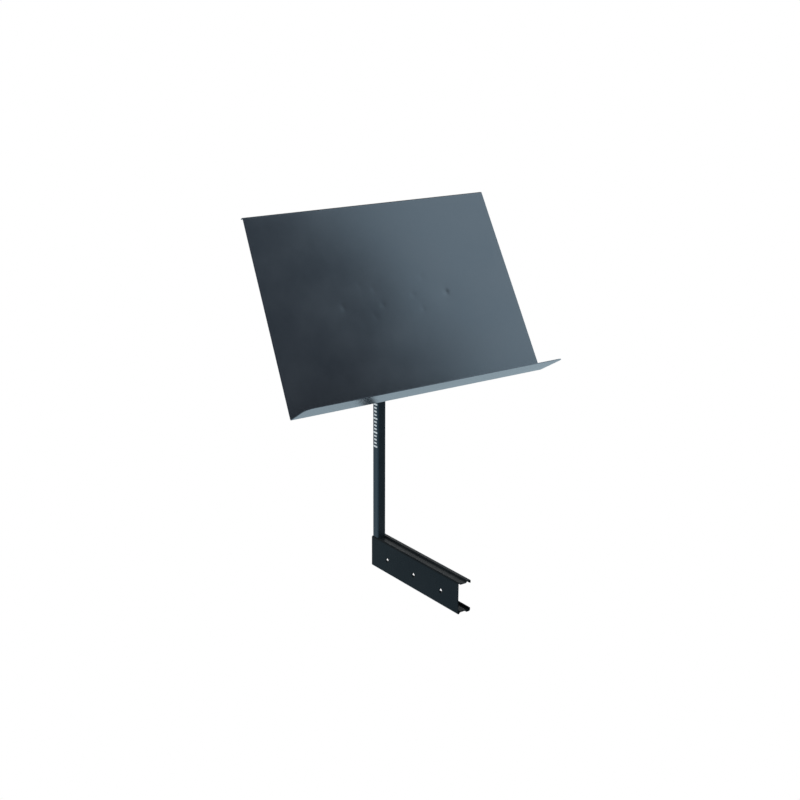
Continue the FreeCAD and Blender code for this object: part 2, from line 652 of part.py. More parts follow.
def ear_rivets():
    """Four rivets, flush in front, with domed heads behind."""
    rivets = []
    for number, (side, step) in enumerate(rivet_places(), start=1):
        grip = "Sizes.doubler_thick + Sizes.ear_thick"
        shank = rivet_hole(f"rivet_shank_{number}", side, step, "Sizes.sheet", grip)
        z = f"Sizes.doubler_up + {step} * Sizes.rivet_pitch / 2"
        head = dome(f"rivet_head_{number}", "Sizes.rivet_head", "Sizes.rivet_dome", f"{side} * {RIVET_X}",
                    f"Sizes.sheet + {grip}", z, "Y")
        rivets.append(join(f"rivet_{number}", shank, head))
    finished(to_desk(group("ear_rivets", rivets)), "ear_rivets")


# ---------------------------------------------------------------- the clamp

def pivot_bolt():
    """A carriage bolt: domed head and square neck in the left ear, shank through to the knob."""
    y = "Sizes.pivot_back"
    z = "Sizes.pivot_up"
    start = f"-{EAR_OUTSIDE}"
    head = dome("bolt_dome", "Sizes.bolt_head", "Sizes.bolt_dome", start, y, z, "-X")
    low_corner = (start, f"{y} - {NECK_SIDE} / 2", f"{z} - {NECK_SIDE} / 2")
    neck = block("bolt_neck", "Sizes.ear_thick", NECK_SIDE, NECK_SIDE, *low_corner)
    shank = rod("bolt_shank", "Sizes.bolt_radius", BOLT_LENGTH, start, y, z, "X")
    finished(to_desk(join("pivot_bolt", head, neck, shank)), "pivot_bolt")


def friction_washer(name, start):
    """A nylon disc between the post and an ear."""
    place = (start, "Sizes.pivot_back", "Sizes.pivot_up")
    finished(to_desk(ring(name, "Sizes.pad_radius", PAD_BORE, "Sizes.pad_thick", *place)), name)


def flat_washer():
    """The flat washer outside the right ear."""
    place = (EAR_OUTSIDE, "Sizes.pivot_back", "Sizes.pivot_up")
    made = ring("flat_washer", "Sizes.washer_radius", EAR_BORE, "Sizes.washer_thick", *place)
    finished(to_desk(made), "flat_washer")


def spring_washer():
    """The spring washer between the flat washer and the knob."""
    place = (WASHER_OUTSIDE, "Sizes.pivot_back", "Sizes.pivot_up")
    made = split_washer("spring_washer", "Sizes.spring_radius", EAR_BORE, "Sizes.spring_thick", *place, "X")
    finished(to_desk(made), "spring_washer")


def lock_knob():
    """A five-lobed knob with a round neck, a seat for its insert and a recess for its cover disc."""
    y = "Sizes.pivot_back"
    z = "Sizes.pivot_up"
    hub = rod("knob_hub", "Sizes.knob_radius", "Sizes.knob_grip", GRIP_START, y, z, "X")
    lobes = []
    for number in range(int(value("Sizes.lobe_count"))):
        turn = f"360 * {number} / Sizes.lobe_count"
        lobe_y = f"{y} - Sizes.lobe_centre * sin({turn})"
        lobe_z = f"{z} + Sizes.lobe_centre * cos({turn})"
        name = f"knob_lobe_{number + 1}"
        lobes.append(rod(name, "Sizes.lobe_radius", "Sizes.knob_grip", GRIP_START, lobe_y, lobe_z, "X"))
    grip = join("knob_grip_sharp", hub, *lobes)
    doc.recompute()
    rims = doc.addObject("Part::Fillet", "knob_grip")
    rims.Base = grip
    radius = value("Sizes.knob_round")
    ends = [face for face in grip.Shape.Faces if isinstance(face.Surface, Part.Plane)]
    keys = {edge.hashCode() for face in ends for edge in face.Edges}
    numbered = enumerate(grip.Shape.Edges, start=1)
    rims.Edges = [(number, radius, radius) for number, edge in numbered if edge.hashCode() in keys]
    reach = "Sizes.knob_neck + Sizes.knob_grip / 2"
    neck = rod("knob_neck", "Sizes.neck_radius", reach, KNOB_START, y, z, "X")
    seat = rod("insert_seat", INSERT_RADIUS, INSERT_LENGTH, KNOB_START, y, z, "X")
    recess = rod("lid_recess", "Sizes.lid_radius", "Sizes.lid_thick", LID_START, y, z, "X")
    made = cut("lock_knob", join("knob_blank", rims, neck), join("knob_tools", seat, recess))
    finished(to_desk(made), "lock_knob")


def knob_insert():
    """The threaded bush moulded into the knob."""
    place = (KNOB_START, "Sizes.pivot_back", "Sizes.pivot_up")
    made = ring("knob_insert", INSERT_RADIUS, BOLT_BORE, INSERT_LENGTH, *place)
    finished(to_desk(made), "knob_insert")


def knob_lid():
    """The slightly domed disc that closes the knob's outer end."""
    y = "Sizes.pivot_back"
    z = "Sizes.pivot_up"
    disc = rod("lid_disc", "Sizes.lid_radius", "Sizes.lid_thick", LID_START, y, z, "X")
    crown = dome("lid_crown", "Sizes.lid_radius", "Sizes.lid_crown", KNOB_END, y, z, "X")
    finished(to_desk(join("knob_lid", disc, crown)), "knob_lid")


def check():
    """Stop with a plain message if any object failed or any sub-part isn't a valid solid."""
    for thing in doc.Objects:
        if "Invalid" in thing.State or "Error" in thing.State:
            raise RuntimeError(f"{thing.Name} failed: {thing.State}")
    for thing in nodes:
        shape = thing.Shape
        if shape.isNull() or not shape.isValid() or not shape.Solids:
            raise RuntimeError(f"{thing.Label} is not a valid solid")


fill_sheet()
rail_channel()
post_tube()
pivot_bush()
post_cap()
foot_plug()
foot_washer()
foot_screw()
desk_plate()
back_plate()
tilt_ear("tilt_ear_left", -1)
tilt_ear("tilt_ear_right", 1)
ear_rivets()
pivot_bolt()
friction_washer("friction_washer_left", f"-{EAR_INSIDE}")
friction_washer("friction_washer_right", f"{EAR_INSIDE} - Sizes.pad_thick")
flat_washer()
spring_washer()
lock_knob()
knob_insert()
knob_lid()
doc.recompute()
check()

os.makedirs("parts", exist_ok=True)
for thing in nodes:
    thing.Shape.exportStep(f"parts/{thing.Label}.step")
    print(thing.Label, "solids", len(thing.Shape.Solids), "volume", round(thing.Shape.Volume, 1))
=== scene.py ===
# %% [markdown]
# A music desk for a keyboard stand, finished as a product picture.
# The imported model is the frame: every part already has its true place and size in metres, with
# +X to the reader's right, +Y away from the reader and +Z up.  The box of the whole model is kept
# at once, because the finished pieces have to stay inside it.

# %% Load the frame
import json
import math

import bmesh
import bpy
from mathutils import Matrix, Vector

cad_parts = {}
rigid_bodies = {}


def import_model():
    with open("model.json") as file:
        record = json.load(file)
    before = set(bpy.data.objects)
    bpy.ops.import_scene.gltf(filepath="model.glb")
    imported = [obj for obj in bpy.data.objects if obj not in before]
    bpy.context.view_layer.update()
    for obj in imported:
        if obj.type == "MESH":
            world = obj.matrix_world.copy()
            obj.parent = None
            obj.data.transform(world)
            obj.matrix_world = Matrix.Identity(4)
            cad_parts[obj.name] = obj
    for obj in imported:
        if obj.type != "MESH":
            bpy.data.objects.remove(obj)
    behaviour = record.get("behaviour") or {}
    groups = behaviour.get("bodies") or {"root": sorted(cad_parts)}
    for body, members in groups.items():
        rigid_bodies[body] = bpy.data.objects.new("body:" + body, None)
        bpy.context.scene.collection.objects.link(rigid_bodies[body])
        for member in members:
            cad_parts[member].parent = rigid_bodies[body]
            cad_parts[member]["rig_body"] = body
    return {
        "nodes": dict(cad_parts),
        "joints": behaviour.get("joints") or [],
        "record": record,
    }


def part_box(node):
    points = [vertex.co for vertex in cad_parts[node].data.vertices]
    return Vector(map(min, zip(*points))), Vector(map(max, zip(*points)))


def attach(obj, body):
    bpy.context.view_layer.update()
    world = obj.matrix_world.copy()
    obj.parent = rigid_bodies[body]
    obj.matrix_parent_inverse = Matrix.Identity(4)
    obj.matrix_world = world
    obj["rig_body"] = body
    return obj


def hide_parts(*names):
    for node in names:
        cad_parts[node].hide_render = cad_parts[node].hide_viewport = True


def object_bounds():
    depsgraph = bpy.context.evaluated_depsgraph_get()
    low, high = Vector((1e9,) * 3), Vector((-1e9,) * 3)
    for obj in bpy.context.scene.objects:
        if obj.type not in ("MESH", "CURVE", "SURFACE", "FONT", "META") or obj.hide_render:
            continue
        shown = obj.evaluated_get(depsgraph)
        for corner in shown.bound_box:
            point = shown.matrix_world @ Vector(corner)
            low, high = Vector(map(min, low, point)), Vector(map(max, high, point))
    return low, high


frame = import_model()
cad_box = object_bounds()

MM = 0.001
nodes = frame["nodes"]
for material in bpy.data.materials:
    material.name = f"packed_{material.name}"

# %% [markdown]
# The camera comes first, so that each piece can be judged from it while it is made.
# It stands in front and to the left, about head high, and looks a little down.  A long lens keeps
# the plate's edges nearly parallel.  Its place is in millimetres, and three angles turn it: how far it
# heads to the right of +Y, how far it dips, and how far it rolls about its own view.

# %% Camera
CAMERA_PLACE = Vector((-1317.3, -1789.7, 987.6)) * MM
CAMERA_YAW = 35.71
CAMERA_DIP = 17.0
CAMERA_ROLL = 0.3
LENS = 64.49
SENSOR = 36.0


def turned(yaw, dip, roll):
    """A camera's rotation from three angles in degrees: heading right of +Y, dip and roll."""
    level = Matrix.Rotation(math.radians(90 - dip), 3, "X")
    headed = Matrix.Rotation(math.radians(-yaw), 3, "Z") @ level
    return headed @ Matrix.Rotation(math.radians(roll), 3, "Z")


camera = bpy.data.objects.new("camera", bpy.data.cameras.new("camera"))
camera.data.lens = LENS
camera.data.sensor_width = SENSOR
camera.data.clip_start = 0.05
camera_turn = turned(CAMERA_YAW, CAMERA_DIP, CAMERA_ROLL)
camera.matrix_world = Matrix.Translation(CAMERA_PLACE) @ camera_turn.to_4x4()
bpy.context.scene.collection.objects.link(camera)
bpy.context.scene.camera = camera
print("camera looks along", [round(x, 3) for x in camera_turn @ Vector((0, 0, -1))])

# %% [markdown]
# Glossy black sheet is seen mostly through what it mirrors, so the studio is part of the finish.
# A bright wall low down, all round, gives pale streaks on every face that looks outwards.  Higher up
# it falls to near black, which keeps the upright faces dark, and the ceiling is a middle grey.
# The room is three backgrounds in one: reflections see those tones, other light is an even white,
# and the camera sees white paper.

# %% The studio's room
ROOM_LIGHT = 0.85
ROOM_TONES = [(0.0, 1.0), (0.33, 1.0), (0.46, 0.05), (0.52, 0.05), (0.70, 0.42), (1.0, 0.42)]
WHITE = (1.0, 1.0, 1.0, 1.0)


def node_maker(tree):
    """A short way to add nodes: each call names the type, and sets properties and inputs."""
    def add(kind, inputs=None, **properties):
        node = tree.nodes.new(kind)
        for name, value in properties.items():
            setattr(node, name, value)
        for name, value in (inputs or {}).items():
            if isinstance(value, bpy.types.NodeSocket):
                tree.links.new(value, node.inputs[name])
            else:
                node.inputs[name].default_value = value
        return node

    add.tree = tree
    return add


world = bpy.data.worlds.new("studio")
bpy.context.scene.world = world
world.use_nodes = True
world.node_tree.nodes.clear()
add = node_maker(world.node_tree)
way = add("ShaderNodeTexCoord")
height = add("ShaderNodeSeparateXYZ", {"Vector": way.outputs["Generated"]})
tones = add("ShaderNodeValToRGB", {"Fac": height.outputs["Z"]})
tones.color_ramp.interpolation = "EASE"
for number, (place, tone) in enumerate(ROOM_TONES):
    stops = tones.color_ramp.elements
    stop = stops[number] if number < len(stops) else stops.new(place)
    stop.position = place
    stop.color = (tone, tone, tone, 1.0)
mirrored = add("ShaderNodeBackground", {"Color": tones.outputs["Color"], "Strength": 1.0})
around = add("ShaderNodeBackground", {"Color": WHITE, "Strength": ROOM_LIGHT})
paper = add("ShaderNodeBackground", {"Color": WHITE, "Strength": 1.0})
rays = add("ShaderNodeLightPath")
room = add("ShaderNodeMixShader", {0: rays.outputs["Is Glossy Ray"], 1: around.outputs[0],
                                   2: mirrored.outputs[0]})
seen = add("ShaderNodeMixShader", {0: rays.outputs["Is Camera Ray"], 1: room.outputs[0],
                                   2: paper.outputs[0]})
add("ShaderNodeOutputWorld", {"Surface": seen.outputs[0]})
print("the room has", len(ROOM_TONES), "tones")

# %% [markdown]
# The floor lies well below the channel, because this desk hangs on a stand and never stands itself.
# It is pale and slightly blue, and the ledge's underside mirrors it.  A dark card lies on it to the
# front right and shows only in reflections: it keeps the post's front face black.

# %% The floor and the dark card
FLOOR_DROP = 0.45
FLOOR_SIZE = 400.0
FLOOR_COLOUR = (0.50, 0.63, 0.71, 1.0)
CARD_LOW = (0.15, -2.6)
CARD_HIGH = (2.2, -0.35)
CARD_LIFT = 0.01
CARD_TONE = (0.12, 0.12, 0.12, 1.0)


def laid_flat(name, low, high, height):
    """A level rectangle between two corners, which is part of the stage."""
    corners = [(low[0], low[1], 0), (high[0], low[1], 0), (high[0], high[1], 0), (low[0], high[1], 0)]
    mesh = bpy.data.meshes.new(name)
    mesh.from_pydata(corners, [], [(0, 1, 2, 3)])
    made = bpy.data.objects.new(name, mesh)
    made.location.z = height
    bpy.context.scene.collection.objects.link(made)
    return made


def stage_material(name):
    """An empty material for the stage, and its own short way to add nodes."""
    material = bpy.data.materials.new(name)
    material.use_nodes = True
    material.node_tree.nodes.clear()
    return material, node_maker(material.node_tree)


floor_height = cad_box[0][2] - FLOOR_DROP
half_floor = FLOOR_SIZE / 2
floor = laid_flat("floor", (-half_floor, -half_floor), (half_floor, half_floor), floor_height)
paint, add = stage_material("floor_paint")
matt = add("ShaderNodeBsdfDiffuse", {"Color": FLOOR_COLOUR})
white = add("ShaderNodeEmission", {"Color": WHITE, "Strength": 1.0})
rays = add("ShaderNodeLightPath")
seen = add("ShaderNodeMixShader", {0: rays.outputs["Is Camera Ray"], 1: matt.outputs[0], 2: white.outputs[0]})
add("ShaderNodeOutputMaterial", {"Surface": seen.outputs[0]})
floor.data.materials.append(paint)

card = laid_flat("dark_card", CARD_LOW, CARD_HIGH, floor_height + CARD_LIFT)
card.visible_camera = False
card.visible_diffuse = False
card.visible_shadow = False
felt, add = stage_material("card_felt")
matt = add("ShaderNodeBsdfDiffuse", {"Color": CARD_TONE})
add("ShaderNodeOutputMaterial", {"Surface": matt.outputs[0]})
card.data.materials.append(felt)
print("floor at", round(floor.location.z, 3), "card at", round(card.location.z, 3))

# %% [markdown]
# One large softbox stands in front to the right.  Its soft edge falls across the plate, which is
# what gives the plate its gradient.

# %% The softbox
AIM = Vector((0.0, 0.07, 0.45))


def softbox(name, heading, distance, rise, width, height, radiance):
    """An upright rectangular light that faces the object, by its heading right of -Y in degrees."""
    out = Vector((math.sin(math.radians(heading)), -math.cos(math.radians(heading)), 0.0))
    light = bpy.data.lights.new(name, "AREA")
    light.shape = "RECTANGLE"
    light.size = width
    light.size_y = height
    light.energy = radiance * math.pi * width * height
    lamp = bpy.data.objects.new(name, light)
    lamp.location = AIM + out * distance + Vector((0.0, 0.0, rise))
    lamp.rotation_euler = out.to_track_quat("Z", "Y").to_euler()
    lamp.visible_camera = False
    bpy.context.scene.collection.objects.link(lamp)
    return lamp


right_box = softbox(
    "softbox_right", heading=64.3, distance=3.0, rise=2.0, width=2.4, height=4.0, radiance=3.3)
print("softbox gives", round(right_box.data.energy, 1), "W")

# %% [markdown]
# Three effects come back on almost every coated or moulded part, so each is one node group, built
# once and placed in each material with its own values.
# Powder coat and moulded plastic are never quite flat: they have a fine orange peel.  The peel
# group puts out a height for a Bump node, and a slow mottle that varies tone and gloss.

# %% A shared group: orange peel
def value_group(name, inputs, outputs):
    """An empty node group with named number inputs and outputs, its way to add nodes, and its start."""
    tree = bpy.data.node_groups.new(name, "ShaderNodeTree")
    for label, default in inputs.items():
        socket = tree.interface.new_socket(name=label, in_out="INPUT", socket_type="NodeSocketFloat")
        socket.default_value = default
    for label in outputs:
        tree.interface.new_socket(name=label, in_out="OUTPUT", socket_type="NodeSocketFloat")
    add = node_maker(tree)
    return tree, add, add("NodeGroupInput")


def close_group(tree, add, results):
    """Join the results to the group's outputs."""
    end = add("NodeGroupOutput")
    for label, socket in results.items():
        tree.links.new(socket, end.inputs[label])
    return tree


peel, add, start = value_group(
    "orange_peel", {"Grains per metre": 900.0, "Patch per metre": 14.0}, ["Height", "Mottle"])
place = add("ShaderNodeTexCoord")
fine = add("ShaderNodeTexNoise", {
    "Vector": place.outputs["Object"], "Scale": start.outputs[0], "Detail": 2.0, "Roughness": 0.5})
patch = add("ShaderNodeTexNoise", {
    "Vector": place.outputs["Object"], "Scale": start.outputs[1], "Detail": 3.0, "Roughness": 0.55})
close_group(peel, add, {"Height": fine.outputs["Fac"], "Mottle": patch.outputs["Fac"]})
print("group", peel.name, "has", len(peel.nodes), "nodes")

# %% [markdown]
# Coating is thinnest on sharp rims, and handling polishes it there.  A Bevel node gives the normal
# that a rounded rim would have.  Where it parts from the true normal there is a rim, and a noise
# breaks the mask up, so the wear comes in patches.

# %% A shared group: worn rims
rims, add, start = value_group(
    "worn_rims", {"Rim width": 0.0006, "Patch per metre": 60.0, "Amount": 0.5}, ["Mask"])
place = add("ShaderNodeTexCoord")
true_way = add("ShaderNodeNewGeometry")
round_way = add("ShaderNodeBevel", {"Radius": start.outputs[0]}, samples=4)
same = add("ShaderNodeVectorMath", {
    0: true_way.outputs["Normal"], 1: round_way.outputs["Normal"]}, operation="DOT_PRODUCT")
rim = add("ShaderNodeMapRange", {
    "Value": same.outputs["Value"], "From Min": 0.99, "From Max": 0.85, "To Min": 0.0, "To Max": 1.0})
broken = add("ShaderNodeTexNoise", {
    "Vector": place.outputs["Object"], "Scale": start.outputs[1], "Detail": 4.0})
patchy = add("ShaderNodeMapRange", {"Value": broken.outputs["Fac"], "From Min": 0.42, "From Max": 0.62})
both = add("ShaderNodeMath", {0: rim.outputs["Result"], 1: patchy.outputs["Result"]}, operation="MULTIPLY")
scaled = add("ShaderNodeMath", {0: both.outputs[0], 1: start.outputs[2]},
             operation="MULTIPLY", use_clamp=True)
close_group(rims, add, {"Mask": scaled.outputs[0]})
print("group", rims.name, "has", len(rims.nodes), "nodes")

# %% [markdown]
# A little dust settles on faces that look up.  The group takes the height of the normal and a
# cloudy noise, so that dust lies thinly on the ledge and in the channel's grooves and nowhere else.

# %% A shared group: settled dust
dust, add, start = value_group("settled_dust", {"Cloud per metre": 40.0, "Amount": 0.1}, ["Mask"])
place = add("ShaderNodeTexCoord")
facing = add("ShaderNodeNewGeometry")
up = add("ShaderNodeSeparateXYZ", {"Vector": facing.outputs["Normal"]})
level = add("ShaderNodeMapRange", {"Value": up.outputs["Z"], "From Min": 0.55, "From Max": 0.95})
cloud = add("ShaderNodeTexNoise", {
    "Vector": place.outputs["Object"], "Scale": start.outputs[0], "Detail": 5.0, "Roughness": 0.6})
lumpy = add("ShaderNodeMapRange", {"Value": cloud.outputs["Fac"], "From Min": 0.35, "From Max": 0.7})
both = add("ShaderNodeMath", {0: level.outputs["Result"], 1: lumpy.outputs["Result"]}, operation="MULTIPLY")
scaled = add("ShaderNodeMath", {0: both.outputs[0], 1: start.outputs[1]},
             operation="MULTIPLY", use_clamp=True)
close_group(dust, add, {"Mask": scaled.outputs[0]})
print("group", dust.name, "has", len(dust.nodes), "nodes")

# %% [markdown]
# Every finish is a Principled shader with its fixed numbers on its own sockets.  What varies over
# the surface comes from the groups: two tones mixed by the mottle, rims and dust on top, a gloss
# that wanders a little, and the peel as a bump.  One function holds that recipe, and each finish
# is one call with its own values.

# %% The recipe for a coated or moulded finish
MOTTLE = {"From Min": 0.3, "From Max": 0.7}
DUST_DULLS = 0.25


def placed(add, group, **values):
    """One of the shared groups, placed in a material with its own values."""
    node = add("ShaderNodeGroup", node_tree=group)
    for name, value in values.items():
        node.inputs[name.replace("_", " ")].default_value = value
    return node


def mixed(add, factor, first, second):
    """Two colours mixed by a mask; each is a colour or another node's output."""
    node = add("ShaderNodeMix", {"Factor": factor}, data_type="RGBA")
    for index, colour in ((6, first), (7, second)):
        if isinstance(colour, bpy.types.NodeSocket):
            add.tree.links.new(colour, node.inputs[index])
        else:
            node.inputs[index].default_value = (*colour, 1.0)
    return node.outputs[2]


def finish(name, tones, rim, dusty, gloss, peel_depth, grains=900.0, patch=14.0, rim_width=0.0006,
           **fixed):
    """A material: two base tones, a rim tone with its amount, dust, a gloss range and a peel depth."""
    material = bpy.data.materials.new(name)
    material.use_nodes = True
    material.node_tree.nodes.clear()
    add = node_maker(material.node_tree)
    skin = placed(add, peel, Grains_per_metre=grains, Patch_per_metre=patch)
    edge = placed(add, rims, Rim_width=rim_width, Amount=rim[1])
    fallen = placed(add, dust, Amount=dusty[1])
    spread = add("ShaderNodeMapRange", {"Value": skin.outputs["Mottle"], **MOTTLE})
    tone = mixed(add, spread.outputs["Result"], *tones)
    tone = mixed(add, edge.outputs["Mask"], tone, rim[0])
    tone = mixed(add, fallen.outputs["Mask"], tone, dusty[0])
    rough = add("ShaderNodeMapRange", {
        "Value": skin.outputs["Mottle"], **MOTTLE, "To Min": gloss[0], "To Max": gloss[1]})
    dull = add("ShaderNodeMath", {
        0: fallen.outputs["Mask"], 1: DUST_DULLS, 2: rough.outputs["Result"]},
        operation="MULTIPLY_ADD", use_clamp=True)
    bump = add("ShaderNodeBump", {"Height": skin.outputs["Height"], "Strength": 1.0, "Distance": peel_depth})
    shader = add("ShaderNodeBsdfPrincipled", {
        "Base Color": tone, "Roughness": dull.outputs[0], "Normal": bump.outputs["Normal"], **fixed})
    add("ShaderNodeOutputMaterial", {"Surface": shader.outputs[0]})
    return material


# %% [markdown]
# The plate's coat is a smooth, half-gloss blue-black.  Seen straight on it returns a bluish light,
# which is the tint on its specular socket, and at a flat angle it turns into a pale mirror.
# The post and the channel wear the same coat a shade darker.

# %% Enamels
BLUE_BLACK = ((0.020, 0.024, 0.031), (0.026, 0.030, 0.037))
SOOT_BLACK = ((0.004, 0.007, 0.009), (0.008, 0.011, 0.013))
COOL_SHEEN = (0.53, 0.79, 1.0, 1.0)
RUBBED = (0.10, 0.12, 0.14)
LINT = (0.30, 0.30, 0.29)

desk_enamel = finish(
    "desk_enamel", BLUE_BLACK, (RUBBED, 0.5), (LINT, 0.05), (0.16, 0.19), 3e-6,
    **{"Specular Tint": COOL_SHEEN, "IOR": 1.5})
post_enamel = finish(
    "post_enamel", SOOT_BLACK, (RUBBED, 0.4), (LINT, 0.05), (0.20, 0.26), 6e-6,
    **{"Specular Tint": COOL_SHEEN, "IOR": 1.6})
rail_enamel = finish(
    "rail_enamel", SOOT_BLACK, (RUBBED, 0.6), (LINT, 0.05), (0.24, 0.30), 8e-6,
    **{"Specular Tint": COOL_SHEEN, "IOR": 1.2})
print("enamels", [material.name for material in (desk_enamel, post_enamel, rail_enamel)])

# %% [markdown]
# The fasteners are zinc plated steel: a pale metal with a cloudy, slightly blue passivation.
# The insert is turned brass.  Knob and cap are black plastics, the first with a spark-eroded
# texture and the second smooth.  The friction discs are nylon, which lets light in a little way, and
# the height ticks on the post are a thick white paint.

# %% Metals and plastics
zinc_steel = finish(
    "zinc_steel", ((0.50, 0.53, 0.57), (0.66, 0.67, 0.68)), ((0.85, 0.86, 0.88), 0.5), (LINT, 0.04),
    (0.22, 0.38), 6e-6, patch=120.0, rim_width=0.0003, Metallic=1.0)
insert_brass = finish(
    "insert_brass", ((0.62, 0.45, 0.20), (0.75, 0.56, 0.28)), ((0.90, 0.72, 0.40), 0.5), (LINT, 0.03),
    (0.20, 0.34), 5e-6, patch=150.0, rim_width=0.0003, Metallic=1.0)
knob_plastic = finish(
    "knob_plastic", ((0.010, 0.010, 0.011), (0.016, 0.016, 0.017)), ((0.07, 0.07, 0.07), 0.5), (LINT, 0.08),
    (0.42, 0.52), 3e-5, grains=2200.0, patch=60.0)
cap_plastic = finish(
    "cap_plastic", ((0.009, 0.009, 0.010), (0.014, 0.014, 0.015)), ((0.06, 0.06, 0.06), 0.4), (LINT, 0.08),
    (0.34, 0.42), 8e-6, grains=1500.0, patch=60.0)
nylon = finish(
    "nylon", ((0.66, 0.65, 0.60), (0.74, 0.73, 0.69)), ((0.80, 0.79, 0.76), 0.3), (LINT, 0.05),
    (0.38, 0.48), 8e-6, grains=1500.0, patch=80.0, **{"Subsurface Weight": 0.2, "Subsurface Scale": 0.002})
tick_paint = finish(
    "tick_paint", ((0.86, 0.87, 0.86), (0.94, 0.95, 0.94)), ((0.60, 0.61, 0.61), 0.6), (LINT, 0.05),
    (0.40, 0.50), 6e-6, grains=1800.0, patch=300.0, rim_width=0.0003)
FINISHES = {material.name: material for material in (
    desk_enamel, post_enamel, rail_enamel, zinc_steel, knob_plastic, cap_plastic, nylon, insert_brass)}
print("finishes", sorted(FINISHES))

# %% [markdown]
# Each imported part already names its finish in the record, so a loop can dress them all.  Parts whose
# shape is right stay as they are, and only their material slots change.

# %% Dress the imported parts
slot_of = {part["node"]: part["material_slot"] for part in frame["record"]["subparts"]}
for name, slot in slot_of.items():
    for material_slot in nodes[name].material_slots:
        material_slot.material = FINISHES[slot]
print("dressed", len(slot_of), "parts in", len(set(slot_of.values())), "finishes")

# %% [markdown]
# The desk is easiest to describe upright: the bend between plate and ledge on the X axis, the
# plate's front at Y = 0, in millimetres.  One function then leans a point back about the clamp bolt
# and gives its place in the model.  The bolt's place comes from the record's own tilt joint.

# %% The desk's own frame
PIVOT = Vector(next(joint for joint in frame["joints"] if joint["name"] == "desk_tilt")["pos_m"])
PIVOT_UP = 183.0
PIVOT_BACK = 41.2
LEAN = Matrix.Rotation(math.radians(-28.3), 3, "X")


def in_desk(x, y, z):
    """A point of the upright desk, in millimetres, as a place in the model, in metres."""
    return PIVOT + LEAN @ (Vector((x, y - PIVOT_BACK, z - PIVOT_UP)) * MM)


print("bend line's middle is at", [round(v, 4) for v in in_desk(0, 0, 0)])

# %% [markdown]
# The desk is one sheet of steel, 1.2 mm thick, with a ledge folded forwards and a strip folded back
# along the top.  A plain extrusion would look dead: real sheet is never flat, its cut edges are
# slightly round, and the plate welded on behind leaves small dents in front.
# So the sheet is built as a fine grid over its middle layer: rows follow the folded section, and
# columns share out the width, which tapers.  The grid is finer round the dents.

# %% The folded section
SHEET = 1.2
BEND = 1.5
PLATE_HEIGHT = 325.5
LEDGE_DEPTH = 62.7
LEDGE_ANGLE = math.radians(87.8)
TOP_RETURN = 8.0
LEDGE_CORNER = 13.0
HALF_TOP = 237.0
HALF_BEND = 250.0
HALF_EDGE = 255.0
MIDDLE_BEND = BEND + SHEET / 2
ARC_STEP = math.radians(11.25)
CORNER_STEPS = 8
COARSE = 9.0
FINE = 1.6
DENT_REACH = 14.0
# Each weld is its place across and up the plate, and the depth of its dent.
WELDS = [(102.5, 159.0, 0.24), (62.0, 191.0, 0.06), (36.0, 163.0, 0.05), (48.0, 137.0, 0.05),
         (-102.5, 159.0, 0.12), (-62.0, 191.0, 0.05), (-37.0, 182.0, 0.06), (-27.0, 154.0, 0.06),
         (-48.0, 137.0, 0.05)]


def arc(centre, radius, first, last):
    """Points on an arc with their outward directions, both as (y, z)."""
    count = max(2, round(abs(last - first) / ARC_STEP))
    points = []
    for step in range(count + 1):
        turn = first + (last - first) * step / count
        way = (math.cos(turn), math.sin(turn))
        points.append(((centre[0] + radius * way[0], centre[1] + radius * way[1]), way))
    return points


def stations(low, high, spots):
    """Places from low to high: far apart in general, and close together near the spots."""
    places = [low]
    while places[-1] < high:
        near = any(abs(places[-1] - spot) < DENT_REACH for spot in spots)
        places.append(min(places[-1] + (FINE if near else COARSE), high))
    return places


def folded_section():
    """Rows of the middle layer from the ledge's free edge to the return's: (y, z), facing and inset."""
    run = (-math.sin(LEDGE_ANGLE), math.cos(LEDGE_ANGLE))
    down = (-math.cos(LEDGE_ANGLE), -math.sin(LEDGE_ANGLE))
    seat = BEND * (1 + math.cos(LEDGE_ANGLE)) / math.sin(LEDGE_ANGLE)
    start = BEND * math.sin(LEDGE_ANGLE) + seat * math.cos(LEDGE_ANGLE)
    rows = []
    outs = []
    for step in range(CORNER_STEPS + 1):
        turn = math.pi / 2 * step / CORNER_STEPS
        outs.append((LEDGE_DEPTH - LEDGE_CORNER * (1 - math.cos(turn)), LEDGE_CORNER * (1 - math.sin(turn))))
    outs += [(out, 0.0) for out in stations(start, LEDGE_DEPTH - LEDGE_CORNER, [])[-2::-1]]
    for out, inset in outs:
        spot = tuple(run[k] * out + down[k] * SHEET / 2 for k in (0, 1))
        rows.append((spot, (-down[0], -down[1]), inset))
    lower_bend = arc((-BEND, seat), MIDDLE_BEND, math.atan2(down[1], down[0]), 0)
    rows += [(spot, (-way[0], -way[1]), 0.0) for spot, way in lower_bend[1:]]
    top = PLATE_HEIGHT - SHEET - BEND
    heights = stations(seat, top, [weld[1] for weld in WELDS])
    rows += [((SHEET / 2, z), (-1.0, 0.0), 0.0) for z in heights[1:]]
    upper_bend = arc((SHEET + BEND, top), MIDDLE_BEND, math.pi, math.pi / 2)
    rows += [(spot, way, 0.0) for spot, way in upper_bend[1:]]
    rows.append(((TOP_RETURN, PLATE_HEIGHT - SHEET / 2), (0.0, 1.0), 0.0))
    return rows


def half_width(y, z):
    """Half the sheet's width at a point of its section: it tapers up the plate and along the ledge."""
    out = -y / math.sin(LEDGE_ANGLE)
    up = z - out * math.cos(LEDGE_ANGLE)
    narrower = (HALF_BEND - HALF_TOP) / PLATE_HEIGHT * up
    wider = (HALF_EDGE - HALF_BEND) / LEDGE_DEPTH * out
    return HALF_BEND - narrower + wider


section = folded_section()
print("section rows", len(section), "free edge half width", round(half_width(*section[0][0]), 1))

